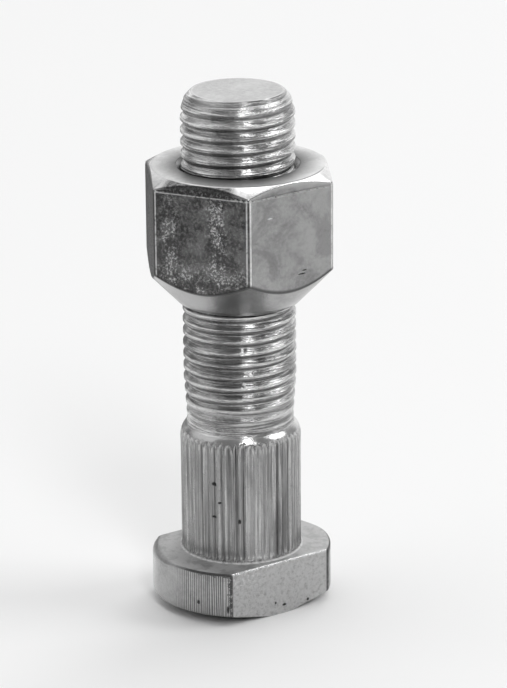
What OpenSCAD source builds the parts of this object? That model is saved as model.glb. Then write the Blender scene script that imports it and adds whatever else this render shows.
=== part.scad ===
// Press-in wheel stud with its hexagon wheel nut.
// The stud stands on its head: Z = 0 is the underside of the head, on the stud's axis.
// The head's two flats face -Y and +Y. All sizes are in millimetres.

/* [Head] */
// Diameter of the round head
head_d = 22.4; // [20:0.2:26]
// Thickness of the head
head_h = 6.95; // [4:0.05:10]
// Width across the two flats on the head
head_flats = 16.75; // [16:0.05:19]
// Radius that the forging die leaves on the upper round edge, over the back of the head
head_round = 1; // [0.4:0.05:2]
// Radius of the same edge over the front of the head, where the trimming squares it up
front_round = 0.25; // [0.1:0.05:0.4]
// How far that squared edge runs back from the front flat
front_reach = 6.4; // [3:0.2:8]
// Radius of the straight upper edge along the back flat
back_round = 0.65; // [0.2:0.05:0.65]
// Width of the bevel round the head's lower edge, measured from the rim inwards
head_bevel = 2.7; // [1:0.05:3]
// Angle of that bevel above the floor
head_bevel_angle = 27; // [20:1:45]

/* [Knurled shank] */
// Diameter over the knurl's ridges, a press fit in the hub flange
knurl_d = 15; // [14.6:0.1:16]
// Length of the knurled shank above the head
knurl_l = 14.55; // [8:0.05:22]
// Number of ridges round the shank
knurl_ridges = 50; // [36:1:64]
// Depth of the V grooves between the ridges
knurl_depth = 0.3; // [0.1:0.05:0.45]
// Width of the crest that is left on each ridge
knurl_crest = 0.1; // [0.05:0.01:0.2]
// Radius of the fillet between the head and the shank
root_fillet = 0.2; // [0.1:0.05:0.6]
// Radius of the rounded shoulder where the shank drops to the neck
shoulder_round = 2.4; // [1.6:0.1:4]

/* [Neck and thread] */
// Overall length of the stud
stud_l = 65.5; // [58:0.5:90]
// Nominal diameter of the thread
thread_d = 14; // [13:0.1:14.4]
// Pitch of the thread
thread_pitch = 1.5; // [1:0.25:2]
// Depth of the neck below the thread's crest, as the rolled blank leaves it
neck_depth = 0.38; // [0.2:0.02:0.6]
// Length of the plain neck between the shoulder and the thread
neck_l = 1.9; // [1:0.1:4]
// Width and height of the 45 degree chamfer on the stud's end
end_chamfer = 0.8; // [0.4:0.1:1.4]
// How far the thread's first turns fall short of the crest, where they start at the chamfer
lead_in_depth = 0.5; // [0.1:0.05:0.8]
// Length over which they come up to the full diameter
lead_in_l = 1.7; // [0.5:0.1:3]

/* [Nut] */
// Width across the nut's hexagon
nut_across_flats = 21.8; // [20:0.1:25]
// Height of the nut from the small end of its seat to its top face
nut_h = 17.2; // [14:0.05:22]
// How far the sharp corners of the hexagon are taken back
nut_corner_trim = 0.14; // [0.05:0.01:0.4]
// How far the round top face ends inside the flats
nut_top_inset = 0.3; // [0.1:0.05:0.8]
// Angle of the chamfer on the nut's top corners
nut_top_angle = 30; // [20:1:40]
// Included angle of the cone that seats in the wheel
seat_angle = 88; // [75:1:110]
// Radius of the rounded edge at the small end of the seat
seat_round = 0.3; // [0.1:0.05:0.8]
// Width of the flat ring between the seat and the countersink at the small end
seat_land = 0.15; // [0.1:0.05:0.6]
// Radial play between the nut's bore and the thread's crest
thread_play = 0.05; // [0.02:0.01:0.1]
// Width of the countersink in the nut's top face
countersink_top = 0.6; // [0.3:0.05:1]
// Width of the countersink in the small end of the seat
countersink_seat = 0.15; // [0.1:0.05:0.4]
// Length of the stud that stands out of the nut
stick_out = 9.15; // [2:0.05:20]
// Angle that the nut's hexagon is turned past the head's flats
nut_turn = 1; // [-30:1:30]

/* [Colours] */
// Bright zinc plate on the stud
stud_colour = "silver"; // [silver, gainsboro, darkgray]
// Bright zinc plate on the nut
nut_colour = "lightgray"; // [lightgray, silver, darkgray]

/* [Hidden] */

ROUND = 96;
ARC_STEPS = 6;
OVERLAP = 1;

head_r = head_d / 2;
knurl_r = knurl_d / 2;
groove_r = knurl_r - knurl_depth;
back_edge_r = min(back_round, head_flats / 2 - knurl_r - root_fillet);
thread_r = thread_d / 2;
neck_r = thread_r - neck_depth;

runout_z = head_h + root_fillet + knurl_depth;
shoulder_z = head_h + knurl_l;
shoulder_sweep = acos(1 - (knurl_r - neck_r) / shoulder_round);
neck_z = shoulder_z + shoulder_round * sin(shoulder_sweep);
thread_z = neck_z + neck_l;

nut_top_z = stud_l - stick_out;
nut_seat_z = nut_top_z - nut_h;
nut_bore_r = thread_r + thread_play;
nut_sharp_r = nut_across_flats / 2 / cos(30);
nut_corner_r = nut_sharp_r - nut_corner_trim;
nut_top_r = nut_across_flats / 2 - nut_top_inset;
seat_half = seat_angle / 2;
seat_land_r = nut_bore_r + countersink_seat + seat_land;
seat_small_r = seat_land_r + seat_round * (cos(seat_half) - (1 - sin(seat_half)) * tan(seat_half));

// Points along an arc about [x, y], from one angle to another
function arc(x, y, radius, from, to) =
    [for (i = [0:ARC_STEPS])
        let (a = from + (to - from) * i / ARC_STEPS)
        [x + radius * cos(a), y + radius * sin(a)]];

// Half of the head's section: the bevel, an upper edge of the given radius, the fillet and the grooves' run-out
function head_outline(edge) = concat(
    [[0, 0],
     [head_r - head_bevel, 0],
     [head_r, head_bevel * tan(head_bevel_angle)]],
    arc(head_r - edge, head_h - edge, edge, 0, 90),
    arc(knurl_r + root_fillet, head_h + root_fillet, root_fillet, 270, 180),
    [[groove_r, runout_z],
     [0, runout_z]]);

// Half of the shank's section, up into the plain neck
function shank_outline() = concat(
    [[0, head_h - OVERLAP],
     [knurl_r, head_h - OVERLAP]],
    arc(knurl_r - shoulder_round, shoulder_z, shoulder_round, 0, shoulder_sweep),
    [[neck_r, neck_z + neck_l / 2],
     [0, neck_z + neck_l / 2]]);

// Half of the section of the neck and the threaded end, at the thread's crest
function thread_outline() =
    [[0, neck_z],
     [neck_r, neck_z],
     [neck_r, thread_z],
     [thread_r, thread_z + thread_pitch / 2],
     [thread_r, stud_l - end_chamfer - lead_in_l],
     [thread_r - lead_in_depth, stud_l - end_chamfer],
     [thread_r - lead_in_depth - end_chamfer, stud_l],
     [0, stud_l]];

// Section across the knurl: a star whose points run a little past the crests
function knurl_star() =
    let (half_step = 180 / knurl_ridges,
         half_crest = knurl_crest / 2 / knurl_r * 180 / PI,
         point_r = groove_r + knurl_depth * half_step / (half_step - half_crest))
    [for (i = [0:2 * knurl_ridges - 1])
        let (r = i % 2 == 0 ? groove_r : point_r, a = i * half_step)
        [r * cos(a), r * sin(a)]];

// What lies between y = from and y = to, right across the head
module head_slab(from, to) {
    translate([-head_d, from, -OVERLAP])
        cube([2 * head_d, to - from, runout_z + 2 * OVERLAP]);
}

// Rounds the straight upper edge along the back flat
module back_edge() {
    translate([-head_d, head_flats / 2 - back_edge_r, head_h - back_edge_r])
        difference() {
            cube([2 * head_d, back_edge_r + OVERLAP, back_edge_r + OVERLAP]);
            rotate([0, 90, 0]) cylinder(h = 2 * head_d, r = back_edge_r, $fn = ROUND);
        }
}

module head() {
    flat_y = head_flats / 2;
    difference() {
        intersection() {
            rotate_extrude($fn = ROUND) polygon(head_outline(head_round));
            head_slab(-flat_y, flat_y);
        }
        back_edge();
    }
    intersection() {
        rotate_extrude($fn = ROUND) polygon(head_outline(front_round));
        head_slab(-flat_y, front_reach - flat_y);
    }
}

module knurled_shank() {
    intersection() {
        rotate_extrude($fn = ROUND) polygon(shank_outline());
        linear_extrude(thread_z) polygon(knurl_star());
    }
}

module threaded_end() {
    rotate_extrude($fn = ROUND) polygon(thread_outline());
}

module stud() {
    color(stud_colour)
        union() {
            head();
            knurled_shank();
            threaded_end();
        }
}

// Half of the nut's section without its bore: the seat, the trimmed corner and the top chamfer
function nut_outline() = concat(
    [[0, nut_seat_z]],
    arc(seat_land_r, nut_seat_z + seat_round, seat_round, 270, 360 - seat_half),
    [[nut_corner_r, nut_seat_z + (nut_corner_r - seat_small_r) / tan(seat_half)],
     [nut_corner_r, nut_top_z - (nut_corner_r - nut_top_r) * tan(nut_top_angle)],
     [nut_top_r, nut_top_z],
     [0, nut_top_z]]);

module nut_body() {
    intersection() {
        translate([0, 0, nut_seat_z - OVERLAP])
            cylinder(h = nut_h + 2 * OVERLAP, r = nut_sharp_r, $fn = 6);
        rotate_extrude($fn = ROUND) polygon(nut_outline());
    }
}

// A cone that opens the bore at one end by the given width, drawn past the end face
module countersink(width) {
    translate([0, 0, -width])
        cylinder(h = width + OVERLAP, r1 = nut_bore_r, r2 = nut_bore_r + width + OVERLAP, $fn = ROUND);
}

module nut_bore() {
    translate([0, 0, nut_seat_z - OVERLAP])
        cylinder(h = nut_h + 2 * OVERLAP, r = nut_bore_r, $fn = ROUND);
    translate([0, 0, nut_top_z])
        countersink(countersink_top);
    translate([0, 0, nut_seat_z])
        mirror([0, 0, 1])
            countersink(countersink_seat);
}

module nut() {
    color(nut_colour)
        rotate([0, 0, nut_turn])
            difference() {
                nut_body();
                nut_bore();
            }
}

stud();
nut();
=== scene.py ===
import math

import bmesh
import bpy
from bpy.props import FloatProperty, FloatVectorProperty, IntProperty, PointerProperty
from mathutils import Matrix, Vector


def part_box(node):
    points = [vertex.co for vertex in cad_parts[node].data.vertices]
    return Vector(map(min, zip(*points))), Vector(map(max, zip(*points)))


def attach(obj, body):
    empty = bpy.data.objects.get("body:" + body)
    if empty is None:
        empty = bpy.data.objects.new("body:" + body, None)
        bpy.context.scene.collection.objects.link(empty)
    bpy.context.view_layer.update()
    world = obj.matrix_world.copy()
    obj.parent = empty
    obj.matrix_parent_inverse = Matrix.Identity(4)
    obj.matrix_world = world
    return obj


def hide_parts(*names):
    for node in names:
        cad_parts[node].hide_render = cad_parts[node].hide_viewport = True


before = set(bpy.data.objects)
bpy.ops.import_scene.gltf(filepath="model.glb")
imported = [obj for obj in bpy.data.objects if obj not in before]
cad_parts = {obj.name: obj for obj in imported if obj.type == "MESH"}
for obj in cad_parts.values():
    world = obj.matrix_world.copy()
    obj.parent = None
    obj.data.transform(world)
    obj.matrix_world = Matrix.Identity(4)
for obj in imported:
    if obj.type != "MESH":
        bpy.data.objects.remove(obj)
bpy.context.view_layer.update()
_, stud_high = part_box("stud")
nut_low, nut_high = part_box("nut")

bl_info = {
    "name": "Wheel stud and nut",
    "version": (1, 0, 0),
    "blender": (4, 5, 0),
    "location": "View3D > Sidebar > Wheel stud",
    "description": "Makes the finished look of a knurled wheel stud and its hexagon nut",
    "category": "Object",
}

MM = 0.001

# Places that the sizes and the finishes share, in millimetres
HEAD_RADIUS, FLAT_DISTANCE, STUD_END = (size / MM for size in stud_high)
HEAD_TOP = 6.95
KNURL_RADIUS = 7.5
SHOULDER_START = 21.5
NUT_TOP = nut_high[2] / MM
NUT_TOP_RADIUS = 10.6
NUT_STEP = 54.92

# Points nearer than this are one, and edges shorter than this have collapsed
WELD = 0.0012 * MM
COLLAPSED = 0.0008 * MM
# Edges that bend more than this stay sharp, in degrees
CREASE = 40

# Columns round the stud: four to each ridge of the knurl
COLUMNS_PER_RIDGE = 4
# Columns round the nut: thirty-two to each of its six faces
COLUMNS_PER_FACE = 32
NUT_COLUMNS = 6 * COLUMNS_PER_FACE
# Half a turn of the stud's thread, from the seam in its crest: share of the pitch, and depth in millimetres
THREAD_ROWS = (
    (0.000, 0.040),
    (0.050, 0.010),
    (0.105, 0.000),
    (0.140, 0.026),
    (0.180, 0.085),
    (0.400, 0.390),
    (0.450, 0.446),
    (0.500, 0.460),
)
# Half a turn of the nut's thread, in the same way, from the groove over the stud's crest to its own crest
NUT_THREAD_ROWS = (
    (0.000, -0.05),
    (0.140, -0.05),
    (0.190, 0.030),
    (0.410, 0.300),
    (0.500, 0.320),
)
# Angle by which the nut's top chamfer falls, and half the included angle of its seat
TOP_ANGLE = math.radians(30)
SEAT_ANGLE = math.radians(44)
# Where a crest of the thread passes, seen along the stud: height and angle from +X
CREST_HEIGHT = 32.62 * MM
CREST_ANGLE = math.radians(-112.75)


def length(name, description, size, scale=MM):
    return FloatProperty(
        name=name, description=description, default=size * scale, unit="LENGTH", precision=5
    )


class StudSizes(bpy.types.PropertyGroup):
    """Sizes of the stud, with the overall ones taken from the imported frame."""

    full_length: length("Length", "From the head's underside to the end face", stud_high[2], 1)
    head_radius: length("Head radius", "Radius of the round head", stud_high[0], 1)
    flat_distance: length("Flat distance", "From the axis to each flat of the head", stud_high[1], 1)
    head_height: length("Head height", "Thickness of the head", HEAD_TOP)
    edge_radius: length("Edge radius", "Radius of the head's upper edge over its back", 1.0)
    lip_radius: length("Lip radius", "Radius of the same edge over the front", 0.25)
    back_radius: length("Back radius", "Radius of the same edge along the back flat", 0.65)
    bevel_radius: length("Bevel radius", "Radius where the head's lower bevel starts", 8.5)
    bevel_height: length("Bevel height", "Height of the head's lower bevel", 1.376)
    knurl_radius: length("Knurl radius", "Radius over the knurl's ridges", KNURL_RADIUS)
    groove_depth: length("Groove depth", "Depth of the grooves between the ridges", 0.3)
    crest_width: length("Crest width", "Width left on the crest of each ridge", 0.13)
    fillet_radius: length("Fillet radius", "Radius between head and shank", 0.2)
    shoulder_start: length("Shoulder start", "Height at which the shoulder begins", SHOULDER_START)
    shoulder_radius: length("Shoulder radius", "Radius of the rounded shoulder", 2.4)
    neck_radius: length("Neck radius", "Radius of the plain neck", 6.62)
    thread_start: length("Thread start", "Height at which the thread's run-out begins", 23.9)
    thread_radius: length("Thread radius", "Radius over the thread's crests", 7.0)
    pitch: length("Pitch", "Pitch of the thread", 1.5)
    chamfer: length("End chamfer", "Width and height of the chamfer on the end", 0.8)
    lead_depth: length("Lead-in depth", "How far the first turns fall short of the crest", 0.5)
    lead_length: length("Lead-in length", "Length over which they come up to it", 1.7)
    ridges: IntProperty(
        name="Ridges", description="Number of ridges round the knurl", default=50, min=12, max=90
    )


class NutSizes(bpy.types.PropertyGroup):
    """Sizes of the nut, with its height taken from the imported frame."""

    top: length("Top", "Height of the nut's top face", nut_high[2], 1)
    seat: length("Seat", "Height of the small end of the nut's seat", nut_low[2], 1)
    face_distance: length("Face distance", "From the axis to each face of the hexagon", 10.9)
    corner_radius: length("Corner radius", "Radius over the trimmed corners", 12.446)
    top_radius: length("Top radius", "Radius of the round top face", NUT_TOP_RADIUS)
    seat_radius: length("Seat radius", "Radius of the small end of the seat", 7.48)
    break_height: length("Break height", "Height of the fine step near the top of each face", NUT_STEP)
    step_depth: length("Step depth", "How far the strip above that step lies back", 0.05)
    top_countersink: length("Top countersink", "Radius of the countersink in the top face", 7.65)
    seat_countersink: length("Seat countersink", "Radius of the countersink in the seat", 7.2)
    turn: FloatProperty(
        name="Turn", description="Angle of the hexagon past the head's flats",
        default=math.radians(1), subtype="ANGLE",
    )


def tint(name, description, grey):
    return FloatVectorProperty(
        name=name, description=description, default=(grey, grey, grey), subtype="COLOR", min=0, max=1
    )


class Finish(bpy.types.PropertyGroup):
    """Colours of the plating and of the stage."""

    zinc: tint("Zinc", "Bright zinc plate", 0.50)
    dull_zinc: tint("Dull zinc", "Zinc plate where it has clouded", 0.36)
    # Worn zinc is also the colour of the painted highlights and painted light, and grime also that of the
    # painted shade
    worn_zinc: tint("Worn zinc", "Edges and chips that handling has polished", 0.78)
    grime: tint("Grime", "What stays in grooves and pits", 0.05)
    backdrop: tint("Backdrop", "Floor and background", 0.91)


class Value:
    """One output of a node, so that node maths is written as plain expressions."""

    def __init__(self, graph, socket):
        self.graph = graph
        self.socket = socket

    def __add__(self, other):
        return self.graph.maths("ADD", self, other)

    def __radd__(self, other):
        return self.graph.maths("ADD", other, self)

    def __sub__(self, other):
        return self.graph.maths("SUBTRACT", self, other)

    def __rsub__(self, other):
        return self.graph.maths("SUBTRACT", other, self)

    def __mul__(self, other):
        return self.graph.maths("MULTIPLY", self, other)

    def __rmul__(self, other):
        return self.graph.maths("MULTIPLY", other, self)

    def __truediv__(self, other):
        return self.graph.maths("DIVIDE", self, other)

    def __abs__(self):
        return self.graph.maths("ABSOLUTE", self)


class Graph:
    """A node tree of the shader or the geometry kind, filled in by plain calls."""

    def __init__(self, tree):
        self.tree = tree

    def put(self, socket, value):
        if isinstance(value, Value):
            self.tree.links.new(value.socket, socket)
        elif value is not None:
            socket.default_value = value

    def node(self, kind, settings, *values, **named):
        """Add a node: its settings first, then its sockets in order, then sockets by name."""
        node = self.tree.nodes.new(kind)
        for name, setting in settings.items():
            setattr(node, name, setting)
        for socket, value in zip(node.inputs, values):
            self.put(socket, value)
        for name, value in named.items():
            self.put(node.inputs[name.replace("_", " ")], value)
        return node

    def add(self, kind, settings, *values, **named):
        """Add a node, and give the first of its outputs that is in use."""
        node = self.node(kind, settings, *values, **named)
        return Value(self, next(s for s in node.outputs if s.enabled))

    def maths(self, operation, *values):
        return self.add("ShaderNodeMath", {"operation": operation}, *values)

    def sine(self, angle):
        return self.maths("SINE", angle)

    def cosine(self, angle):
        return self.maths("COSINE", angle)

    def least(self, first, second):
        return self.maths("MINIMUM", first, second)

    def most(self, first, *others):
        for other in others:
            first = self.maths("MAXIMUM", first, other)
        return first

    def soft_least(self, first, second, width):
        return self.maths("SMOOTH_MIN", first, second, width)

    def whole(self, value):
        return self.maths("FLOOR", value)

    def between(self, value, low, high, to_low=0.0, to_high=1.0, kind="LINEAR"):
        """The value's place between low and high, held at both ends."""
        return self.add(
            "ShaderNodeMapRange", {"interpolation_type": kind}, value, low, high, to_low, to_high
        )

    def soft(self, value, low, high, to_low=0.0, to_high=1.0):
        return self.between(value, low, high, to_low, to_high, "SMOOTHSTEP")

    def band(self, value, low, full, fading, end):
        """One from full to fading, and nothing before low or past end."""
        return self.soft(value, low, full) * self.soft(value, fading, end, 1.0, 0.0)

    def along(self, row, stops):
        """A broken line through (row, value) stops, held at both ends."""
        total = stops[0][1]
        for (start, before), (end, after) in zip(stops, stops[1:]):
            step = after - before
            if isinstance(step, Value) or abs(step) > 1e-12:
                total = total + self.between(row, start, end, 0.0, step)
        return total

    def point(self, x, y, z):
        return self.add("ShaderNodeCombineXYZ", {}, x, y, z)


class FormTree(Graph):
    """A Geometry Nodes tree with named size inputs."""

    def __init__(self, name, sizes):
        super().__init__(bpy.data.node_groups.new(name, "GeometryNodeTree"))
        self.values = sizes
        for label, value in sizes.items():
            kind = "NodeSocketInt" if isinstance(value, int) else "NodeSocketFloat"
            self.tree.interface.new_socket(label, in_out="INPUT", socket_type=kind)
        self.tree.interface.new_socket("Material", in_out="INPUT", socket_type="NodeSocketMaterial")
        self.tree.interface.new_socket("Geometry", in_out="OUTPUT", socket_type="NodeSocketGeometry")
        self.entry = self.tree.nodes.new("NodeGroupInput")

    def size(self, label):
        return Value(self, self.entry.outputs[label])

    def leave(self, geometry):
        self.put(self.tree.nodes.new("NodeGroupOutput").inputs[0], geometry)

    def part_of(self, column, columns, parts):
        """Number of the equal part of all columns that a column lies in, from nought."""
        return self.whole(self.between(column, 0, columns, 0, parts - 0.0001))

    def counters(self, columns, rows):
        """Column and row number of each vertex of a grid that has not been moved yet."""
        place = self.add("GeometryNodeInputPosition", {})
        parts = self.node("ShaderNodeSeparateXYZ", {}, place)
        column = self.maths("ROUND", Value(self, parts.outputs[0]) + columns / 2)
        row = self.maths("ROUND", Value(self, parts.outputs[1]) + rows / 2)
        return column, row

    def unevenness(self, angle, height, around, upwards, detail=2.0):
        """Noise over a round surface, in steps round the axis and steps to a metre of height."""
        place = self.point(self.cosine(angle) * around, self.sine(angle) * around, height * upwards)
        return self.add("ShaderNodeTexNoise", {"noise_dimensions": "3D"}, place, Scale=1.0, Detail=detail)

    def chance(self, number):
        return self.add("ShaderNodeTexWhiteNoise", {"noise_dimensions": "1D"}, W=number)

    def roll(self, columns, rows, radius, angle, height, **marks):
        """A grid whose vertices go to radius, angle and height, with named marks for the material."""
        sheet = self.add("GeometryNodeMeshGrid", {}, columns, rows, columns + 1, rows + 1)
        for name, mark in marks.items():
            sheet = self.add(
                "GeometryNodeStoreNamedAttribute", {"data_type": "FLOAT", "domain": "POINT"},
                sheet, Name=name, Value=mark,
            )
        place = self.point(radius * self.cosine(angle), radius * self.sine(angle), height)
        self.leave(self.add("GeometryNodeSetPosition", {}, sheet, Position=place))


def formed_mesh(name, sizes, material, parts):
    """One closed mesh from a tree that joins the given parts, each a tree of its own."""
    whole = FormTree(name + "_form", sizes)
    join = whole.tree.nodes.new("GeometryNodeJoinGeometry")
    for part in parts:
        form = FormTree(part.__name__, sizes)
        part(form)
        group = whole.node("GeometryNodeGroup", {"node_tree": form.tree})
        for label in sizes:
            whole.put(group.inputs[label], whole.size(label))
        whole.tree.links.new(group.outputs[0], join.inputs[0])
    joined = Value(whole, join.outputs[0])
    joined = whole.add("GeometryNodeMergeByDistance", {}, joined, Distance=WELD)
    joined = whole.add("GeometryNodeRealizeInstances", {}, joined)
    whole.leave(whole.add("GeometryNodeSetMaterial", {}, joined, Material=whole.size("Material")))

    carrier = bpy.data.objects.new(name + "_carrier", bpy.data.meshes.new(name + "_carrier"))
    bpy.context.scene.collection.objects.link(carrier)
    modifier = carrier.modifiers.new("Form", "NODES")
    modifier.node_group = whole.tree
    for item in whole.tree.interface.items_tree:
        if item.item_type == "SOCKET" and item.in_out == "INPUT":
            modifier[item.identifier] = sizes.get(item.name, material)
    graph = bpy.context.evaluated_depsgraph_get()
    mesh = bpy.data.meshes.new_from_object(carrier.evaluated_get(graph), depsgraph=graph)
    carrier.modifiers.remove(modifier)
    bpy.data.objects.remove(carrier)
    mesh.name = name
    return mesh


def tidy_mesh(mesh):
    """Drop what has collapsed, turn every face outwards and keep its creases sharp."""
    work = bmesh.new()
    work.from_mesh(mesh)
    bmesh.ops.dissolve_degenerate(work, dist=COLLAPSED, edges=work.edges[:])
    loose = [edge for edge in work.edges if not edge.link_faces]
    bmesh.ops.delete(work, geom=loose, context="EDGES")
    bmesh.ops.recalc_face_normals(work, faces=work.faces[:])
    if work.calc_volume(signed=True) < 0:
        bmesh.ops.reverse_faces(work, faces=work.faces[:])
    gaps = sum(1 for edge in work.edges if len(edge.link_faces) != 2)
    for face in work.faces:
        face.smooth = True
    work.to_mesh(mesh)
    work.free()
    if gaps:
        raise RuntimeError(f"{mesh.name} has {gaps} open or shared edges")
    mesh.set_sharp_from_angle(angle=math.radians(CREASE))


def place_piece(mesh, name, body, node):
    piece = bpy.data.objects.new(name, mesh)
    bpy.context.scene.collection.objects.link(piece)
    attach(piece, body)
    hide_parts(node)


def rounded(corner, before, after, reach):
    """Three points that round the corner of a section, between two directions of travel."""
    x, z = corner
    start = (x - before[0] * reach, z - before[1] * reach)
    middle = (
        x + (after[0] - before[0]) * reach * 0.25,
        z + (after[1] - before[1]) * reach * 0.25,
    )
    end = (x + after[0] * reach, z + after[1] * reach)
    return [start, middle, end]


class Section:
    """Stops of a section along the rows of a grid, each some rows past the one before."""

    def __init__(self, radius, height):
        self.row = 0
        self.radii = [(0, radius)]
        self.heights = [(0, height)]

    def go(self, radius, height, rows=1):
        self.row += rows
        self.radii.append((self.row, radius))
        self.heights.append((self.row, height))

    def bend(self, corner, before, after, reach):
        for radius, height in rounded(corner, before, after, reach):
            self.go(radius, height)

    def check(self, rows, what):
        if self.row != rows:
            raise RuntimeError(f"the {what} has {self.row} rows and not {rows}")


def roll_head(form):
    """From the centre of the underside, over the bevel, the side and the rounded edge, to the fillet."""
    columns, rows = COLUMNS_PER_RIDGE * form.values["Ridges"], 21
    column, row = form.counters(columns, rows)
    head_r, head_h = form.size("Head radius"), form.size("Head height")
    flat = form.size("Flat distance")
    bevel_r, bevel_h = form.size("Bevel radius"), form.size("Bevel height")

    # Each quarter bunches its columns at the corner of a flat, and every other one runs backwards
    quarter = columns / 4
    turn = form.part_of(column, columns, 4)
    odd = turn - form.whole(turn / 2) * 2
    step = column - turn * quarter
    step = step + odd * (quarter - step * 2)
    sign = 1 - odd * 2
    plain_angle = column * (math.tau / columns)
    back = form.sine(plain_angle) * head_r
    edge = form.soft(back, -3.0 * MM, 2.5 * MM, form.size("Lip radius"), form.size("Edge radius"))
    beside = form.soft(back, flat - 0.9 * MM, flat - 0.1 * MM)
    corner_blend = form.soft(back, 0.0, flat, 0.12 * MM, 1.1 * MM)
    edge = edge + (form.size("Back radius") - edge) * beside

    slope = math.atan2(form.values["Bevel height"], form.values["Head radius"] - form.values["Bevel radius"])
    rim = rounded((head_r, bevel_h), (math.cos(slope), math.sin(slope)), (0.0, 1.0), 0.14 * MM)
    section = Section(0.0, 0.0)
    section.go(bevel_r, 0.0)
    section.go(rim[0][0] - 0.3 * MM, rim[0][1] - 0.3 * MM * math.tan(slope))
    for radius, height in rim:
        section.go(radius, height)
    section.go(head_r, bevel_h + 0.45 * MM)
    section.go(head_r, head_h - edge, 6)
    side_end = section.row
    insets = [(0, 0.0), (side_end, 0.0)]
    for number in range(1, 8):
        angle = math.radians(90) * number / 7
        pull = edge * (1 - math.cos(angle))
        section.go(head_r - pull, head_h - edge * (1 - math.sin(angle)))
        insets.append((section.row, pull))
    top_edge = section.row
    section.go(head_r - edge, head_h, rows - top_edge)
    section.check(rows, "head")
    ring = form.along(row, section.radii)
    limit = flat - form.along(row, insets)

    corner = form.maths("ARCSINE", form.least(limit / form.most(ring, 0.1 * MM), 1.0))
    spacing, middle = math.radians(0.55), 26
    bunched = [(middle + place, corner + spacing * place) for place in (-2, -1, 0, 1, 2)]
    bend = form.along(step, [(0, 0.0), *bunched, (quarter, math.radians(90))])
    angle = (turn + odd) * math.radians(90) + sign * bend
    sine = form.most(abs(form.sine(angle)), 0.001)
    radius = form.soft_least(ring, limit / sine, corner_blend)
    height = form.along(row, section.heights)
    wave = form.unevenness(angle, height, 2.2, 260)
    uneven = form.between(row, 2, 4) * form.between(row, side_end, side_end + 3, 1.0, 0.2)
    radius = radius - wave * uneven * 0.05 * MM

    last = form.between(row, top_edge, rows)
    fillet_r = form.size("Knurl radius") + form.size("Fillet radius")
    inner = form.between(row, rows - 1, rows)
    radius = radius + (fillet_r - radius) * last
    angle = angle + (plain_angle - angle) * inner
    form.roll(columns, rows, radius, angle, height, relief=0.6, thread=0.0)


def roll_shank(form):
    """From the fillet, up the knurl and over the shoulder, to the plain neck."""
    columns, rows = COLUMNS_PER_RIDGE * form.values["Ridges"], 50
    column, row = form.counters(columns, rows)
    knurl_r, neck_r = form.size("Knurl radius"), form.size("Neck radius")
    head_h, fillet = form.size("Head height"), form.size("Fillet radius")
    shoulder_z, shoulder_r = form.size("Shoulder start"), form.size("Shoulder radius")
    thread_z, ridges = form.size("Thread start"), form.size("Ridges")

    number = form.whole(column / COLUMNS_PER_RIDGE)
    part = column - number * COLUMNS_PER_RIDGE
    ridge = number - form.whole(number / ridges) * ridges
    luck, shift = form.chance(ridge + 0.5), form.chance(ridge + 91.5)
    cut = form.size("Groove depth") * (0.5 + luck * 0.5)
    groove_r = knurl_r - cut

    section = Section(knurl_r + fillet, head_h)
    for step in range(1, 5):
        angle = math.radians(22.5 * step)
        section.go(knurl_r + fillet * (1 - math.sin(angle)), head_h + fillet * (1 - math.cos(angle)))
    fillet_end = section.row
    section.go(knurl_r, head_h + fillet + form.size("Groove depth"))
    ridge_start = section.row
    section.go(knurl_r, shoulder_z, 26)
    ridge_end = section.row
    drop = 1 - (form.values["Knurl radius"] - form.values["Neck radius"]) / form.values["Shoulder radius"]
    sweep = math.degrees(math.acos(drop))
    for degrees in [*range(3, 25, 3), 26.5, 29, *range(33, 46, 4), sweep - 2]:
        angle = math.radians(degrees)
        section.go(knurl_r - shoulder_r * (1 - math.cos(angle)), shoulder_z + shoulder_r * math.sin(angle))
    runout = section.row - 5
    foot_z = shoulder_z + shoulder_r * math.sin(math.radians(sweep))
    for lift, proud in [(0.06, 0.05), (0.18, 0.02), (0.4, 0.0)]:
        section.go(neck_r + proud * MM, foot_z + lift * MM)
    section.go(neck_r, thread_z)
    section.check(rows, "shank")
    outline = form.along(row, section.radii)
    height = form.along(row, section.heights)

    # Of each ridge's four columns the first lies in the groove and the others are on the crest
    crest = 0.5 - form.size("Crest width") / knurl_r * (form.values["Ridges"] / (2 * math.tau))
    share = form.least(form.most((outline - groove_r) / cut, 0.0), 1.0)
    low = form.between(row, 0, ridge_start)
    flank = 0.25 + (crest * share - 0.25) * low
    flank = form.most(flank, form.between(row, runout, runout + 4, 0.0, 0.25), 0.014)
    lean = (shift - 0.5) * share * form.between(row, fillet_end - 3, ridge_start, 0.0, 0.2)
    place = form.along(part, [(0, 0.0), (1, flank + lean), (2, lean + 0.5), (3, lean + 1 - flank)])
    angle = (number + place) * math.tau / ridges

    bottom = 1 - form.between(part, 0, 1)
    grooved = form.between(row, fillet_end, ridge_start)
    pressed = form.unevenness(angle, height, 20, 420)
    worn = grooved * form.between(row, ridge_end - 2, ridge_end, 1.0, 0.0)
    radius = outline - pressed * worn * 0.06 * MM
    sunk = form.least(outline, groove_r)
    radius = radius + (sunk - radius) * bottom * grooved
    knurled = grooved * form.between(row, runout, runout + 1, 1.0, 0.0)
    relief = 1 - bottom * knurled * (0.4 + luck * 0.55)
    form.roll(columns, rows, radius, angle, height, relief=relief, thread=0.0)


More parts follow.
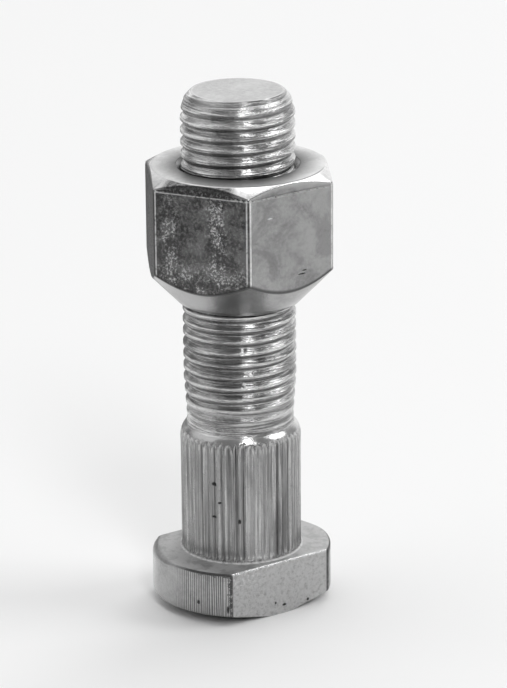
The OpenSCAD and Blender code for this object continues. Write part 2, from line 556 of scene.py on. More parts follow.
def helix(form, columns, profile, start_angle, low, high):
    """Rows that follow the thread between two sizes of the tree, as their number and each place's values.

    The values are its column, its height, its depth below the crest and whether it faces down.
    """
    pitch, half = form.values["Pitch"], len(profile) - 1
    first = CREST_HEIGHT + pitch * (start_angle - CREST_ANGLE) / math.tau
    first = first - pitch * math.ceil((first - form.values[low]) / pitch + 1)
    rows = 2 * half * math.ceil((form.values[high] - first) / pitch)
    column, row = form.counters(columns, rows)
    turn = form.whole(row / (2 * half))
    step = row - turn * (2 * half)
    whole_turn = [*profile, *((1 - share, depth) for share, depth in reversed(profile[:-1]))]
    places = [(number, share) for number, (share, _) in enumerate(whole_turn)]
    depths = [(number, depth * MM) for number, (_, depth) in enumerate(whole_turn)]
    rise = turn + form.along(step, places) + column / columns
    height = first + form.size("Pitch") * rise
    height = form.most(form.least(height, form.size(high)), form.size(low))
    last = 2 * half - 2
    under = form.between(step, half, half + 1) * form.between(step, last, last + 1, 1, 0)
    return rows, column, height, form.along(step, depths), under


def roll_thread(form):
    """The rolled thread, from the plain neck to the end face."""
    columns, pitch = COLUMNS_PER_RIDGE * form.values["Ridges"], form.values["Pitch"]
    rows, column, height, depth, under = helix(form, columns, THREAD_ROWS, 0.0, "Thread start", "Length")
    angle = column * (math.tau / columns)

    neck_r, thread_r = form.size("Neck radius"), form.size("Thread radius")
    scar = form.unevenness(angle, height, 9, 900, 3.0)
    # Over the first turns the crests rise from the neck and the groove deepens
    start = form.size("Thread start")
    begun = form.soft(height, start, start + 0.3 * MM)
    swollen = form.between(height, start, start + pitch * 3.8)
    faded = begun * 0.18 + form.soft(height, start, start + pitch * 3.4) * 0.82
    radius = neck_r + (thread_r - neck_r) * swollen - (depth + form.soft(scar, 0.45, 0.8) * 0.05 * MM) * faded
    fallen = form.size("Length") - height
    chamfer, lead_depth = form.size("End chamfer"), form.size("Lead-in depth")
    lead = thread_r - lead_depth * (1 - (fallen - chamfer) / form.size("Lead-in length"))
    edge = thread_r - lead_depth - chamfer + fallen
    radius = form.soft_least(radius, form.soft_least(lead, edge, 0.25 * MM), 0.06 * MM)
    relief = 1 - form.between(depth, 0.02 * MM, 0.46 * MM) * faded
    # The under mark tells the plating where to paint shade on the lower flanks
    form.roll(columns, rows, radius, angle, height, relief=relief, thread=begun, under=under * faded)


def roll_end(form):
    """The flat end face."""
    columns, rows = COLUMNS_PER_RIDGE * form.values["Ridges"], 3
    column, row = form.counters(columns, rows)
    rim = form.size("Thread radius") - form.size("Lead-in depth") - form.size("End chamfer")
    radius = form.along(row, [(0, rim), (1, rim - 0.3 * MM), (2, rim / 2), (3, 0.0)])
    angle = column * (math.tau / columns)
    form.roll(columns, rows, radius, angle, form.size("Length"), relief=1.0, thread=0.0)


def corner_columns(form, column):
    """Face of each column of the nut and its angle on it, with columns close at the corner strips."""
    half, beside, half_round = COLUMNS_PER_FACE // 2, 0.8, 0.35
    strip = math.degrees(math.acos(form.values["Face distance"] / form.values["Corner radius"]))
    face = form.part_of(column, NUT_COLUMNS, 6)
    step = column - face * COLUMNS_PER_FACE - half
    side = form.maths("SIGN", step)
    angles = []
    for number in range(half + 1):
        if number <= half - 4:
            reach = math.tan(math.radians(strip - beside)) * number / (half - 4)
            degrees = math.degrees(math.atan(reach))
        else:
            degrees = [strip - half_round, strip, strip + half_round, 30.0][number - (half - 3)]
        angles.append((number, math.radians(degrees)))
    return face, form.along(abs(step), angles) * side


def roll_nut_outside(form):
    """From the countersink in the top, over the chamfer, the six faces and the seat, to its small end."""
    columns, rows = NUT_COLUMNS, 36
    column, row = form.counters(columns, rows)
    apothem, corner_r = form.size("Face distance"), form.size("Corner radius")
    top, seat = form.size("Top"), form.size("Seat")
    face, across = corner_columns(form, column)
    angle = face * math.radians(60) + math.radians(30) + across
    blend, tilt = 0.06 * MM, 0.045
    # Above the fine step each face lies back, and leans in a little up to the chamfer
    face_r = form.soft_least(apothem / form.cosine(across), corner_r, blend)
    back_r = form.soft_least((apothem - form.size("Step depth")) / form.cosine(across), corner_r, blend)
    chamfer = (math.cos(TOP_ANGLE), -math.sin(TOP_ANGLE))
    fall = math.tan(TOP_ANGLE)
    top_r = form.size("Top radius")
    rough_top = top - (back_r - top_r) * fall
    lean = (rough_top - form.size("Break height")) * tilt
    high_r = form.soft_least(
        (apothem - form.size("Step depth") - lean) / form.cosine(across), corner_r, blend
    )
    high_z = top - (high_r - top_r) * fall

    seat_r = form.size("Seat radius")
    inward = (-math.sin(SEAT_ANGLE), -math.cos(SEAT_ANGLE))
    low_z = seat + (face_r - seat_r) / math.tan(SEAT_ANGLE)
    section = Section(form.size("Top countersink"), top)
    section.go(top_r - 0.4 * MM, top)
    section.bend((top_r, top), (1.0, 0.0), chamfer, 0.08 * MM)
    section.bend((high_r, high_z), chamfer, (tilt, -1.0), 0.1 * MM)
    face_top = section.row
    break_z = form.size("Break height")
    section.go(back_r, break_z + 0.09 * MM, 2)
    section.go(face_r, break_z)
    section.go(face_r, break_z - 0.12 * MM)
    section.go(face_r, low_z + 0.45 * MM, 12)
    face_foot = section.row
    section.bend((face_r, low_z), (0.0, -1.0), inward, 0.13 * MM)
    section.go(face_r + inward[0] * 0.4 * MM, low_z + inward[1] * 0.4 * MM)
    section.go(seat_r + 0.12 * MM, seat + 0.12 * MM / math.tan(SEAT_ANGLE), 6)
    section.go(seat_r - 0.02 * MM, seat + 0.04 * MM)
    section.go(seat_r - 0.12 * MM, seat)
    section.go(form.size("Seat countersink"), seat)
    section.check(rows, "nut's outside")
    radius = form.along(row, section.radii)
    height = form.along(row, section.heights)
    even = column * (math.tau / columns)
    flat_ring = form.between(row, 0, 1, 1.0, 0.0) + form.between(row, rows - 1, rows)
    angle = angle + (even - angle) * flat_ring + form.size("Turn")
    sides = form.between(row, face_top, face_top + 1)
    sides = sides * form.between(row, face_foot + 1, face_foot + 2, 1.0, 0.0)
    # The rim under the faces gets less relief, which the plating paints as shade
    rim = form.between(row, face_foot, face_foot + 1)
    rim = rim * form.between(row, face_foot + 3, face_foot + 4, 1.0, 0.0)
    corner = (math.radians(30) - abs(across)) * corner_r / MM
    form.roll(
        columns, rows, radius, angle, height, face=face, side=sides, corner=corner, relief=1 - rim * 0.7
    )


def roll_nut_bore(form):
    """The nut's own thread, which keeps clear of the stud's."""
    columns, turn = NUT_COLUMNS, form.values["Turn"]
    rows, column, height, depth, _ = helix(form, columns, NUT_THREAD_ROWS, turn, "Seat", "Top")
    radius = form.size("Thread radius") - depth
    from_top = form.size("Top countersink") - (form.size("Top") - height)
    from_seat = form.size("Seat countersink") - (height - form.size("Seat"))
    radius = form.most(radius, from_top, from_seat)
    angle = column * (math.tau / columns) + form.size("Turn")
    # The bore's low relief gives it painted shade in the plating
    form.roll(columns, rows, radius, angle, height, face=-1.0, side=0.0, corner=9.0, relief=0.3)


class Metal(Graph):
    """The shader tree of one plated surface, which is told its lengths in millimetres."""

    def __init__(self, name, finish):
        self.material = bpy.data.materials.new(name)
        self.material.use_nodes = True
        super().__init__(self.material.node_tree)
        self.tree.nodes.clear()
        coordinates = self.tree.nodes.new("ShaderNodeTexCoord")
        self.place = Value(self, coordinates.outputs["Object"])
        parts = self.node("ShaderNodeSeparateXYZ", {}, self.place)
        self.x, self.y, self.z = (Value(self, output) for output in parts.outputs)
        self.reach = self.maths("SQRT", self.x * self.x + self.y * self.y)
        # The worn tint also gives the painted highlights and painted light, and the grime tint the painted
        # shade
        tints = (finish.zinc, finish.dull_zinc, finish.worn_zinc, finish.grime)
        self.zinc, self.dull, self.worn, self.grime = ((*colour, 1.0) for colour in tints)

    def noise(self, scale, detail=3.0, roughness=0.55, place=None, distortion=0.0):
        return self.add(
            "ShaderNodeTexNoise", {}, Vector=place or self.place, Scale=scale, Detail=detail,
            Roughness=roughness, Distortion=distortion,
        )

    def stretched(self, across, upwards, detail=3.0, roughness=0.6):
        """Noise squeezed differently across and along the stud's axis."""
        place = self.point(self.x * across, self.y * across, self.z * upwards)
        return self.noise(1.0, detail, roughness, place)

    def mark(self, name):
        node = self.node("ShaderNodeAttribute", {"attribute_name": name, "attribute_type": "GEOMETRY"})
        return Value(self, node.outputs["Fac"])

    def rise(self, length, low, high, before=0.0, after=1.0):
        """From before to after, as a length grows from low to high."""
        return self.soft(length, low * MM, high * MM, before, after)

    def window(self, length, *limits):
        """A band of a length, with its four limits in millimetres."""
        return self.band(length, *(limit * MM for limit in limits))

    def facing(self, side, inner, outer):
        """How far a place lies on the given side of the part, in degrees from -Y towards +X."""
        around = math.radians(side)
        near = (self.x * math.sin(around) - self.y * math.cos(around)) / self.reach
        return self.soft(near, math.cos(math.radians(outer)), math.cos(math.radians(inner)))

    def numbered(self, mark, first, last):
        """Where a mark that counts the faces lies between two numbers, both of them included."""
        return self.band(mark, first - 0.6, first - 0.4, last + 0.4, last + 0.6)

    def specks(self, scale, size, share):
        """Small round spots of the given size, in a share of the cells."""
        cells = self.node("ShaderNodeTexVoronoi", {"feature": "F1"}, Vector=self.place, Scale=scale)
        near = Value(self, cells.outputs["Distance"]) / scale
        lucky = self.node("ShaderNodeSeparateColor", {}, Value(self, cells.outputs["Color"]))
        chosen = self.maths("LESS_THAN", Value(self, lucky.outputs[0]), share)
        spread = 0.5 + Value(self, lucky.outputs[1])
        return self.rise(near / spread, size * 0.5, size, 1.0, 0.0) * chosen

    def dents(self, places):
        """Where the given pits lie, each with its own reach across and along the axis."""
        total = 0.0
        for x, y, z, across, upwards in places:
            right, back = self.x - x * MM, self.y - y * MM
            above = (self.z - z * MM) / (upwards * MM)
            aside = (right * right + back * back) / (across * MM) ** 2
            near = self.maths("SQRT", aside + above * above)
            total = self.most(self.soft(near, 0.55, 1.1, 1.0, 0.0), total)
        return total

    def blend(self, share, first, second):
        """From the first colour to the second."""
        mix = self.node("ShaderNodeMix", {"data_type": "RGBA"})
        self.put(mix.inputs["Factor"], share)
        colours = [socket for socket in mix.inputs if socket.type == "RGBA"]
        self.put(colours[0], first)
        self.put(colours[1], second)
        return Value(self, next(s for s in mix.outputs if s.type == "RGBA"))

    def finish(self, colour, roughness, bumps):
        """The finished material, with its bumps as pattern, depth and where the pattern shows."""
        normal = None
        for pattern, depth, share in bumps:
            normal = self.add(
                "ShaderNodeBump", {}, Strength=share, Distance=depth * MM, Height=pattern, Normal=normal
            )
        shader = self.node(
            "ShaderNodeBsdfPrincipled", {}, Base_Color=colour, Metallic=1.0, Roughness=roughness,
            Normal=normal,
        )
        out = self.tree.nodes.new("ShaderNodeOutputMaterial")
        self.tree.links.new(shader.outputs["BSDF"], out.inputs["Surface"])
        return self.material


# Distance between the shear lines on the head's round side, in millimetres
SHEAR_STEP = 0.28
# Pits and nicks of the stud: centre, then reach across and along the axis, in millimetres
STUD_PITS = (
    (-6.45, -3.55, 17.2, 0.36, 0.26),
    (-6.45, -3.55, 12.9, 0.36, 0.16),
    (-4.4, -6.0, 12.5, 0.24, 0.34),
    (-6.05, -4.15, 14.8, 0.28, 0.14),
    (-10.0, -5.0, 2.9, 0.20, 0.26),
    (-7.7, -8.1, 2.3, 0.20, 0.50),
    (-0.7, -8.4, 1.6, 0.18, 0.22),
    (0.6, -8.4, 1.1, 0.36, 0.20),
    (4.2, -8.4, 0.95, 0.22, 0.24),
)
# Pits and nicks of the nut, in the same way, and a nick on one of its faces with a painted glint
NUT_PITS = (
    (1.7, -10.9, 44.7, 0.62, 0.10),
    (2.1, -10.9, 45.1, 0.34, 0.08),
    (11.6, 1.5, 47.5, 0.40, 0.40),
)
NUT_NICK_GLINTS = (
    (-3.0, -10.9, 52.4, 0.42, 0.14),
)


def stud_plating(finish):
    """Bright zinc that is streaked on the knurl, torn on the flats and turned on the thread, with painted
    highlights, painted light and painted shade.
    """
    metal = Metal("stud_zinc_plate", finish)
    relief, thread, under = (metal.mark(name) for name in ("relief", "thread", "under"))
    over_head, over_shoulder = metal.z - HEAD_TOP * MM, metal.z - SHOULDER_START * MM
    past_knurl, past_rim = metal.reach - KNURL_RADIUS * MM, metal.reach - HEAD_RADIUS * MM
    past_flat = abs(metal.y) - FLAT_DISTANCE * MM

    cloud = metal.noise(160, 4.0)
    grain = metal.noise(1900, 4.0, 0.7)
    torn = metal.noise(1900, 5.0, 0.85, distortion=0.3)
    mottled = metal.noise(620, 6.0, 0.8)
    streaks = metal.stretched(3300, 45, 3.0, 0.75)
    turns = metal.stretched(260, 4200, 4.0, 0.7)
    wires = metal.stretched(110, 2900)
    smudge = metal.stretched(420, 70)
    ragged = metal.stretched(900, 40)

    end = metal.rise(metal.z, STUD_END - 0.15, STUD_END - 0.05)
    turned = metal.rise(over_shoulder, 1.4, 2.0) * (1 - end)
    above_nut = metal.rise(metal.z, 55.0, 57.0)
    shoulder = metal.window(over_shoulder, 0.4, 0.8, 1.7, 2.1)
    shank = metal.rise(past_knurl, 0.05, 0.25, 1.0, 0.0) * metal.rise(over_shoulder, 0.1, 1.5, 1.0, 0.0)
    seat = metal.window(over_head, -0.07, -0.02, 0.05, 0.15)
    rounded_edge = metal.window(over_head, -1.25, -0.65, -0.02, 0.05)
    flat = metal.rise(past_flat, -0.115, -0.025)
    beside = metal.rise(past_rim, -0.3, -0.18)
    sheared = beside * metal.rise(metal.y, -4.6, 0.0, 1.0, 0.1)

    # The head's round side with its shear lines, and a ragged line of painted shade along its top edge at the
    # front and beside the front flat, where the lip has a painted highlight
    around = metal.maths("ARCTAN2", metal.y, metal.x) * (HEAD_RADIUS / SHEAR_STEP * math.tau)
    scores = metal.sine(around + ragged * 14) * 0.5 + 0.5
    scores = scores * metal.soft(ragged, 0.3, 0.6, 1.0, 0.5)
    lines = metal.soft(scores, 0.15, 0.45, 0.75, 0.0) * sheared
    uneven = (torn - 0.5) * 1.8 * MM
    rim = metal.rise(over_head, -0.35, -0.21)
    by_flat = metal.rise(past_flat + uneven, -0.215, -0.055)
    squared = metal.rise(over_head + uneven, -0.41, -0.27) * metal.rise(metal.y, -5.6, -4.4, 1.0, 0.0)
    # A painted highlight on the lip at the corner of the front flat, and a ragged painted shade line along
    # the top edge
    lip_highlight = by_flat * rim * metal.rise(past_rim, -0.3, -0.1, 1.0, 0.0)
    edge_line_shade = beside * metal.most(rim * sheared, squared, by_flat)
    nicked = metal.rise(metal.x, -5.0, -2.0, 1.0, 0.35) * metal.rise(metal.z, 3.8, 5.6, 0.4, 1.0)
    mottle = 0.25 + metal.soft(mottled, 0.44, 0.60) * 0.75

    # The knurl: dirt in its grooves, deepened by painted shade towards the front, and painted highlights on
    # the upper ends of its ridges, on their feet and on the ring at its foot
    dirt_and_shade = metal.soft((1 - relief) * (0.7 + cloud * 0.6), 0.35, 1.0) * (1 - thread)
    # The groove dirt is partly painted shade, darkest on the front side
    dirt_and_shade = dirt_and_shade * (0.42 + metal.facing(5, 20, 45) * 0.45)
    # Painted highlights on the upper ends of the ridges, on their feet and on the ring at the fillet
    tip_highlight = metal.band(relief, 0.5, 0.7, 0.9, 0.99) * metal.rise(over_shoulder, -0.6, 0.1) * 0.55
    foot = metal.band(relief, 0.3, 0.6, 0.85, 0.99) * metal.window(over_head, 0.15, 0.35, 0.55, 1.35)
    foot = foot * metal.soft(torn, 0.42, 0.55, 0.2, 0.9)
    ring = metal.window(past_knurl, -0.04, 0.04, 0.2, 0.3) * metal.window(over_head, -0.05, 0.01, 0.2, 0.3)
    ring = ring * metal.soft(torn, 0.40, 0.52, 0.45, 1.0)
    rubbed = metal.soft(smudge, 0.48, 0.66) * metal.facing(-5, 25, 62) * 0.45 + 0.14
    rubbed = metal.most(rubbed, metal.soft(streaks, 0.38, 0.45, 0.5, 0.0))

    # The thread: painted highlights on its crests, and painted shade over its flanks, darkest on the lower
    # flanks
    crest = thread * metal.soft(relief, 0.86, 0.96)
    flank_shade = thread * metal.soft(relief, 0.86, 0.96, 1.0, 0.0) * 0.14
    shade = under * 0.62 * metal.soft(turns, 0.25, 0.5, 0.55, 1.0)

    tone = metal.soft(cloud * 0.55 + grain * 0.45, 0.34, 0.66)
    tone = tone * (1 - shank * metal.soft(streaks, 0.42, 0.58, 0.95, 0.0))
    tone = tone + (metal.soft(turns, 0.38, 0.62) - tone) * turned * 0.8
    tone = tone + (metal.soft(torn, 0.45, 0.55) - tone) * flat * 0.9
    tone = tone + (metal.soft(mottled, 0.40, 0.60) - tone) * seat * 0.9
    # Among these are painted highlights on the crests, the ends and feet of the ridges, the shoulder, the lip
    # and the fillet ring, and painted light on the flats and the head's top face; the thread is also lighter
    # all over, and more so above the nut
    bright = metal.most(
        metal.soft(streaks, 0.53, 0.60) * shank * relief * 0.6,
        metal.soft(torn, 0.54, 0.59) * nicked * flat,
        metal.soft(wires, 0.40, 0.45, 0.8, 0.0) * turned,
        thread * (0.2 + above_nut * 0.35 + crest * 0.45),
        (1 - thread) * metal.most(tip_highlight, foot),
        flat * 0.4, seat * 0.55, shoulder * 0.6, lip_highlight, ring,
    )
    # Among these are painted shade on the lower flanks, over the thread's flanks and along the head's top
    # edge, and the groove dirt, which is partly painted shade
    dark = metal.most(
        metal.soft(wires, 0.53, 0.58) * turned * 0.6,
        metal.soft(torn, 0.39, 0.45, 0.28, 0.0) * flat,
        mottle * seat * 0.42, shank * rubbed, edge_line_shade * 0.9, end * 0.13, dirt_and_shade, shade, lines, flank_shade,
    )
    pits = metal.most(metal.dents(STUD_PITS), metal.specks(420, 0.14, 0.05))
    colour = metal.blend(tone, metal.dull, metal.zinc)
    colour = metal.blend(bright, colour, metal.worn)
    colour = metal.blend(metal.most(dark * (1 - ring), pits), colour, metal.grime)
    roughness = 0.21 + ring * 0.25 - tone * 0.05 + dirt_and_shade * 0.2 + flat * (1 - lip_highlight) * 0.14 + shank * 0.08
    roughness = roughness + seat * (0.30 - tone * 0.12) + rounded_edge * (1 - lip_highlight) * 0.2
    return metal.finish(colour, roughness, (
        (grain, 0.008, 1.0), (streaks, 0.20, shank), (turns, 0.08, turned), (wires, 0.22, turned),
        (torn, 0.22, flat), (mottled, 0.12, seat), (scores, 0.05, sheared), (pits, -0.12, 1.0),
    ))


def nut_plating(finish):
    """Zinc that is clean on most faces, and dark, rough and chipped on the two that are coarse, where the
    dark is partly painted shade; with painted light on the top and painted highlights on the edges.
    """
    metal = Metal("nut_zinc_plate", finish)
    face, side, relief, corner = (metal.mark(name) for name in ("face", "side", "relief", "corner"))
    over_top, over_step = metal.z - NUT_TOP * MM, metal.z - NUT_STEP * MM

    cloud = metal.noise(140, 4.0)
    grain = metal.noise(2200, 4.0, 0.7)
    chips = metal.noise(3000, 5.0, 0.8)
    patches = metal.noise(420, 4.0, 0.6)
    stain = metal.soft(metal.noise(230, 4.0, 0.65, distortion=0.8), 0.46, 0.64)

    # The faces count round from +X, and the first of them is nought
    coarse = metal.numbered(face, 2, 3) * side
    # Painted shade over the whole of face 2
    face_shade = metal.numbered(face, 2, 2) * side
    cone = metal.rise(metal.z, 44.2, 44.5, 1.0, 0.0) * (1 - side)
    # Painted light on the chamfer and the top face, and more of it on the top face
    bevel = metal.rise(over_step, 0.08, 0.28) * (1 - side)
    top = metal.rise(over_top, -0.10, -0.02)

    # Edges: the fine step with the strip above it, the corners and the rim of the top face; the step and the
    # lines along the corner strips get painted highlights
    lens = metal.rise(over_step, 0.03, 0.13) * side
    ledge_highlight = metal.rise(abs(over_step - 0.03 * MM), 0.06, 0.13, 1.0, 0.0) * side
    strip = metal.soft(abs(corner - 0.24), 0.05, 0.12, 1.0, 0.0) * side
    seam = metal.soft(corner, 0.04, 0.10, 1.0, 0.0) * side
    edge = metal.rise(abs(metal.reach - (NUT_TOP_RADIUS + 0.02) * MM), 0.04, 0.10, 1.0, 0.0)
    edge = edge * metal.rise(over_top, -0.15, -0.08) * metal.facing(1, 20, 50)
    # Soot and painted shade over the strip above the step and the chamfer, on the side of face 3
    chamfer_soot_and_shade = metal.rise(over_step, 0.03, 0.08) * metal.rise(over_top, -0.13, -0.05, 1.0, 0.0)
    chamfer_soot_and_shade = chamfer_soot_and_shade * metal.facing(-61, 20, 27) * metal.soft(chips, 0.4, 0.6, 1.0, 0.7)

    # Chips of the coarse faces, in two columns up a face and along its foot
    face_way = math.radians(31.0)
    along = metal.x * math.sin(face_way) - metal.y * math.cos(face_way) + (patches - 0.5) * 3.0 * MM
    left_column = metal.rise(abs(along + 4.1 * MM), 0.5, 1.3, 1.0, 0.0)
    left_column = left_column * metal.rise(metal.z, 50.0, 53.0, 1.0, 0.25)
    right_column = metal.rise(abs(along - 2.2 * MM), 0.5, 1.4, 1.0, 0.0)
    foot = metal.rise(metal.z, 44.8, 47.0, 0.8, 0.0)
    struck = metal.most(left_column, right_column, foot) * metal.soft(patches, 0.38, 0.52)
    chipped = metal.soft(chips, 0.51, 0.57) * (0.15 + metal.most(struck, lens * 0.6) * 0.8)
    # Soot on the coarse faces, which also stands as painted shade there
    soot_and_shade = metal.soft(patches, 0.38, 0.62, 0.90, 0.52) + metal.rise(metal.z, 47.0, 54.0, 0.0, 0.16)
    soot_and_shade = metal.least(soot_and_shade + lens * 0.2, 0.97) * metal.soft(grain, 0.35, 0.65, 0.88, 1.0)

    tone = metal.soft(cloud * 0.7 + grain * 0.3, 0.40, 0.60)
    # Among these are painted highlights on the step and the corner strips, a painted glint on one nick, and
    # painted light on the chamfer and the top face
    bright = metal.most(
        chipped * coarse, metal.most(ledge_highlight * 0.8, strip) * metal.soft(chips, 0.36, 0.50),
        metal.dents(NUT_NICK_GLINTS), bevel * (0.45 + tone * 0.25), top * 0.4,
    )
    pits = metal.most(metal.dents(NUT_PITS), metal.specks(300, 0.12, 0.05))
    # Among these are painted shade on the rim under the faces and in the bore, over face 2, and over the
    # chamfer on the side of face 3
    dark = metal.most(
        (1 - relief) * 1.2, pits, seam * 0.4, edge * 0.75, chamfer_soot_and_shade * 0.95, face_shade * 0.86,
        cone * 0.24, stain * side * (1 - coarse) * 0.26,
    )
    colour = metal.blend(tone * (1 - coarse), metal.dull, metal.zinc)
    colour = metal.blend(soot_and_shade * coarse, colour, metal.grime)
    colour = metal.blend(bright, colour, metal.worn)
    colour = metal.blend(metal.least(dark, 1.0), colour, metal.grime)
    roughness = 0.24 - tone * 0.05 + coarse * 0.10 + top * 0.3 + bright * (1 - bevel) * 0.15
    return metal.finish(colour, roughness, (
        (grain, 0.010, 1.0), (patches, 0.10, coarse * 0.7 + 0.05), (chips, 0.16, coarse * 0.95 + 0.03),
        (pits, -0.10, 1.0),
    ))


def tree_inputs(group):
    """The sizes of a property group, by the names that the panel gives them."""
    return {group.bl_rna.properties[key].name: getattr(group, key) for key in group.__annotations__}


class WHEELSTUD_OT_stud(bpy.types.Operator):
    """Make the stud: head, knurl, shoulder, thread and end face as one closed mesh"""

    bl_idname = "wheelstud.stud"
    bl_label = "Stud"

    def execute(self, context):
        scene = context.scene
        plating = stud_plating(scene.stud_finish)
        parts = (roll_head, roll_shank, roll_thread, roll_end)
        mesh = formed_mesh("wheel_stud", tree_inputs(scene.stud_sizes), plating, parts)
        tidy_mesh(mesh)
        place_piece(mesh, "wheel_stud", "stud_body", "stud")
        return {"FINISHED"}


class WHEELSTUD_OT_nut(bpy.types.Operator):
    """Make the hexagon nut with its chamfer, cone seat and inner thread as one closed mesh"""

    bl_idname = "wheelstud.nut"
    bl_label = "Nut"

    def execute(self, context):
        scene = context.scene
        sizes, stud_sizes = tree_inputs(scene.nut_sizes), tree_inputs(scene.stud_sizes)
        sizes["Pitch"], sizes["Thread radius"] = stud_sizes["Pitch"], stud_sizes["Thread radius"]
        plating = nut_plating(scene.stud_finish)
        mesh = formed_mesh("wheel_nut", sizes, plating, (roll_nut_outside, roll_nut_bore))
        tidy_mesh(mesh)
        place_piece(mesh, "wheel_nut", "nut_body", "nut")
        return {"FINISHED"}


# The studio's light by direction: side from the camera's own, lift, inner and outer reach in degrees, gain
WORLD_BASE = 0.20
WORLD_LOBES = (
    (180, 12, 22, 50, 1.00),
    (-138, 66, 12, 30, 0.85),
    (-90, 40, 18, 42, 0.50),
    (100, 20, 20, 50, 0.15),
    (0, 90, 12, 32, 0.45),
)
# Lamps: name, side, lift, width and height in degrees, and brightness, where a white card facing it shows 1
LAMPS = (
    ("key_light", 18, 45, 10, 28, 7.0),
    ("side_light", 92, 40, 24, 26, 4.2),
    ("rear_light", 148, 54, 26, 44, 1.7),
)
# Cards: name, side, distance, width, lowest and highest edge in millimetres, and grey
CARDS = (
    ("front_left_card", -30, 72, 68, 0, 110, 0.22),
    ("back_left_card", -158.5, 86, 60, 0, 60, 0.42),
    ("right_card", 71, 85, 50, 0, 60, 0.85),
)
# Distance of the lamps from the stud, in metres
LAMP_DISTANCE = 2.4

# The camera looks from this side of the stud, in degrees from -Y towards +X, and down by its lift
CAMERA_SIDE = -34.75
CAMERA_LIFT = 18.568
CAMERA_DISTANCE = 447.783 * MM
CAMERA_ROLL = -0.476
CAMERA_LENS = 189.82
SENSOR_HEIGHT = 36.0
# How far its aim lies to the right of the axis, and how high
AIM = (1.698 * MM, 33.138 * MM)


def towards(side, lift):
    """Direction from the stud, with the side measured from the camera's own, towards its right."""
    around, up = math.radians(CAMERA_SIDE + side), math.radians(lift)
    return Vector((math.sin(around) * math.cos(up), -math.cos(around) * math.cos(up), math.sin(up)))


def put_camera():
    back = towards(0, CAMERA_LIFT)
    right = towards(90, 0)
    up = back.cross(right)
    roll = math.radians(CAMERA_ROLL)
    across = right * math.cos(roll) + up * math.sin(roll)
    upright = up * math.cos(roll) - right * math.sin(roll)
    spot = Vector((0, 0, AIM[1])) + back * CAMERA_DISTANCE + right * AIM[0]
    data = bpy.data.cameras.new("camera")
    data.sensor_fit, data.sensor_height, data.lens = "VERTICAL", SENSOR_HEIGHT, CAMERA_LENS
    data.clip_start, data.clip_end = 0.01, 20
    camera = bpy.data.objects.new("camera", data)
    turn = Matrix((across, upright, back)).transposed()
    camera.matrix_world = Matrix.Translation(spot) @ turn.to_4x4()
    bpy.context.scene.collection.objects.link(camera)
    bpy.context.scene.camera = camera


def put_lamp(name, side, lift, wide, high, brightness):
    """A rectangular lamp of the given spread in degrees, as seen from the stud."""
    data = bpy.data.lights.new(name, "AREA")
    data.shape = "RECTANGLE"
    data.size = 2 * LAMP_DISTANCE * math.tan(math.radians(wide / 2))
    data.size_y = 2 * LAMP_DISTANCE * math.tan(math.radians(high / 2))
    data.energy = brightness * math.pi * data.size * data.size_y
    lamp = bpy.data.objects.new(name, data)
    way = towards(side, lift)
    level = towards(side + 90, 0)
    turn = Matrix((level, way.cross(level), way)).transposed().to_4x4()
    lamp.matrix_world = Matrix.Translation(way * LAMP_DISTANCE + Vector((0, 0, AIM[1]))) @ turn
    bpy.context.scene.collection.objects.link(lamp)


def plain_material(name, colour):
    material = bpy.data.materials.new(name)
    material.use_nodes = True
    shader = material.node_tree.nodes["Principled BSDF"]
    shader.inputs["Base Color"].default_value = (*colour, 1.0)
    shader.inputs["Roughness"].default_value = 1.0
    shader.inputs["Specular IOR Level"].default_value = 0.0
    return material


def put_card(name, side, distance, width, low, high, grey):
    """A plain card that stands round the stud and is seen only in its reflections."""
    out = towards(side, 0)
    along = towards(side + 90, 0)
    corners = []
    for x, z in ((-1, low), (1, low), (1, high), (-1, high)):
        corners.append(out * distance + along * (x * width / 2) + Vector((0, 0, z)))
    mesh = bpy.data.meshes.new(name)
    mesh.from_pydata([c * MM for c in corners], [], [(0, 1, 2, 3)])
    mesh.materials.append(plain_material(name, (grey, grey, grey)))
    card = bpy.data.objects.new(name, mesh)
    card.visible_camera = False
    card.visible_diffuse = False
    card.visible_shadow = False
    bpy.context.scene.collection.objects.link(card)


def put_floor(colour):
    mesh = bpy.data.meshes.new("floor")
    reach = 3.0
    mesh.from_pydata(
        [(-reach, -reach, 0), (reach, -reach, 0), (reach, reach, 0), (-reach, reach, 0)],
        [], [(0, 1, 2, 3)],
    )
    mesh.materials.append(plain_material("floor", colour))
    floor = bpy.data.objects.new("floor", mesh)
    bpy.context.scene.collection.objects.link(floor)


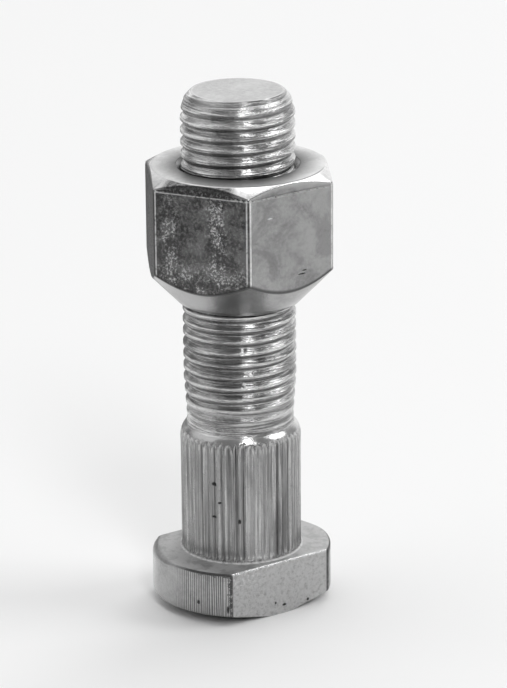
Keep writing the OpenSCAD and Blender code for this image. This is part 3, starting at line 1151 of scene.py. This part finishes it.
def put_world():
    """A studio by direction: a light backdrop behind and a softer one above and at the right."""
    world = bpy.data.worlds.new("studio")
    world.use_nodes = True
    bpy.context.scene.world = world
    graph = Graph(world.node_tree)
    graph.tree.nodes.clear()
    coordinates = graph.tree.nodes.new("ShaderNodeTexCoord")
    way = Value(graph, coordinates.outputs["Generated"])
    light = WORLD_BASE
    for side, lift, inner, outer, gain in WORLD_LOBES:
        aim = tuple(towards(side, lift))
        node = graph.node("ShaderNodeVectorMath", {"operation": "DOT_PRODUCT"}, way, aim)
        near = Value(graph, node.outputs["Value"])
        limits = (math.cos(math.radians(outer)), math.cos(math.radians(inner)))
        light = graph.soft(near, *limits) * gain + light
    back = graph.node("ShaderNodeBackground", {}, (1.0, 1.0, 1.0, 1.0), light)
    out = graph.tree.nodes.new("ShaderNodeOutputWorld")
    graph.tree.links.new(back.outputs[0], out.inputs[0])


class WHEELSTUD_OT_stage(bpy.types.Operator):
    """Make the floor, the lights, the cards and the camera"""

    bl_idname = "wheelstud.stage"
    bl_label = "Stage"

    def execute(self, context):
        scene = context.scene
        scene.view_settings.view_transform = "Standard"
        put_floor(scene.stud_finish.backdrop)
        put_world()
        for lamp in LAMPS:
            put_lamp(*lamp)
        for card in CARDS:
            put_card(*card)
        put_camera()
        return {"FINISHED"}


class WHEELSTUD_PT_panel(bpy.types.Panel):
    """Sizes, colours and the pieces, in the order in which they are made"""

    bl_idname = "WHEELSTUD_PT_panel"
    bl_label = "Wheel stud and nut"
    bl_space_type = "VIEW_3D"
    bl_region_type = "UI"
    bl_category = "Wheel stud"

    def draw(self, context):
        for group in (context.scene.stud_sizes, context.scene.nut_sizes, context.scene.stud_finish):
            box = self.layout.box()
            for name in group.__annotations__:
                box.prop(group, name)
        for operator in (WHEELSTUD_OT_stud, WHEELSTUD_OT_nut, WHEELSTUD_OT_stage):
            self.layout.operator(operator.bl_idname)


CLASSES = (
    StudSizes, NutSizes, Finish,
    WHEELSTUD_OT_stud, WHEELSTUD_OT_nut, WHEELSTUD_OT_stage, WHEELSTUD_PT_panel,
)


def register():
    for each in CLASSES:
        bpy.utils.register_class(each)
    bpy.types.Scene.stud_sizes = PointerProperty(type=StudSizes)
    bpy.types.Scene.nut_sizes = PointerProperty(type=NutSizes)
    bpy.types.Scene.stud_finish = PointerProperty(type=Finish)


def unregister():
    del bpy.types.Scene.stud_finish
    del bpy.types.Scene.nut_sizes
    del bpy.types.Scene.stud_sizes
    for each in reversed(CLASSES):
        bpy.utils.unregister_class(each)


def main():
    register()
    bpy.ops.wheelstud.stud()
    bpy.ops.wheelstud.nut()
    bpy.ops.wheelstud.stage()


if __name__ == "__main__":
    main()
